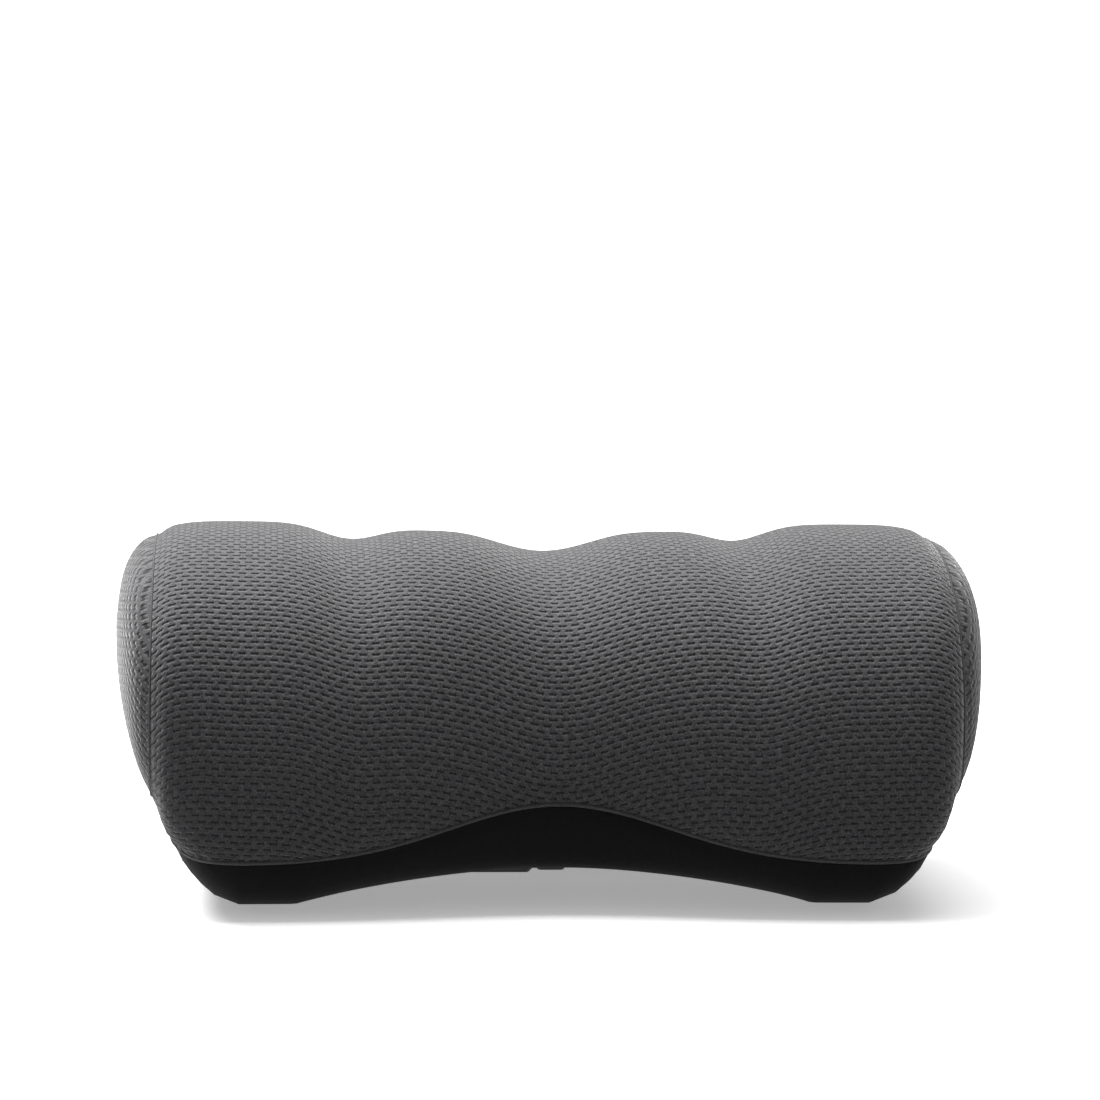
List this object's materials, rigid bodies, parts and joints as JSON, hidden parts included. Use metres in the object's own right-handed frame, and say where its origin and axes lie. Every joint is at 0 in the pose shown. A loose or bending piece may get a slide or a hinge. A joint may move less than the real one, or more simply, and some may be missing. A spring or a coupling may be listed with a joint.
{
  "type": "chair headrest attachment",
  "caption": "Contoured foam headrest pillow with a zip-off mesh cover and an elastic strap with a side-release buckle for tying it to a chair.",
  "frame": {"origin": "middle of the resting plane under the pillow's back panel", "axes": "+X along the roll, -Y towards the rounded front with the waist, +Z away from the chair"},
  "size_m": [0.3, 0.1838, 0.127],
  "materials": {
    "memory_foam": "moulded polyurethane foam, matt",
    "liner_knit": "thin stretch knit",
    "spacer_mesh": "grey heathered spacer mesh with short dark slots",
    "stretch_knit": "black fine stretch knit, soft",
    "seam_thread": "black sewing thread",
    "zip_tape": "black woven tape",
    "zip_nylon": "black nylon coil",
    "zip_metal": "black lacquered zinc",
    "elastic_webbing": "black woven elastic",
    "buckle_plastic": "black moulded acetal, fine grain",
    "label_satin": "blank white satin"
  },
  "bodies": {
    "pillow": {"foam_core": "memory_foam", "inner_liner": "liner_knit", "main_panel": "spacer_mesh", "left_end_panel": "spacer_mesh", "right_end_panel": "spacer_mesh", "base_panel": "stretch_knit", "left_end_seam": "seam_thread", "right_end_seam": "seam_thread", "base_seam": "seam_thread", "zip_tape_upper": "zip_tape", "zip_tape_lower": "zip_tape", "zip_coil_upper": "zip_nylon", "zip_coil_lower": "zip_nylon", "zip_stop_closed": "zip_metal", "zip_stop_open": "zip_metal", "strap_left": "elastic_webbing", "strap_right": "elastic_webbing", "anchor_patch_left": "elastic_webbing", "anchor_patch_right": "elastic_webbing", "anchor_stitches_left": "seam_thread", "anchor_stitches_right": "seam_thread", "buckle_socket": "buckle_plastic", "care_label": "label_satin"},
    "zip_slider": {"zip_slider": "zip_metal"},
    "zip_pull": {"zip_pull": "zip_metal"},
    "buckle_plug": {"buckle_plug": "buckle_plastic", "latch_arm_front": "buckle_plastic", "latch_arm_rear": "buckle_plastic"},
    "strap_keeper": {"strap_keeper": "buckle_plastic"}
  },
  "joints": [
    {"name": "zip_slide", "type": "slide", "parent": "pillow", "child": "zip_slider", "axis": [-1, 0, 0], "range_m": [0, 0.198]},
    {"name": "pull_swing", "type": "hinge", "parent": "zip_slider", "child": "zip_pull", "pos_m": [0.10225, 0.0907, 0.038], "axis": [0, 0, -1], "range_deg": [0, 175]},
    {"name": "buckle_release", "type": "slide", "parent": "pillow", "child": "buckle_plug", "axis": [1, 0, 0], "range_m": [0, 0.022], "deforming": ["latch_arm_front", "latch_arm_rear", "strap_right"]},
    {"name": "keeper_slide", "type": "slide", "parent": "pillow", "child": "strap_keeper", "axis": [1, 0, 0], "range_m": [-0.003, 0.007]}
  ]
}
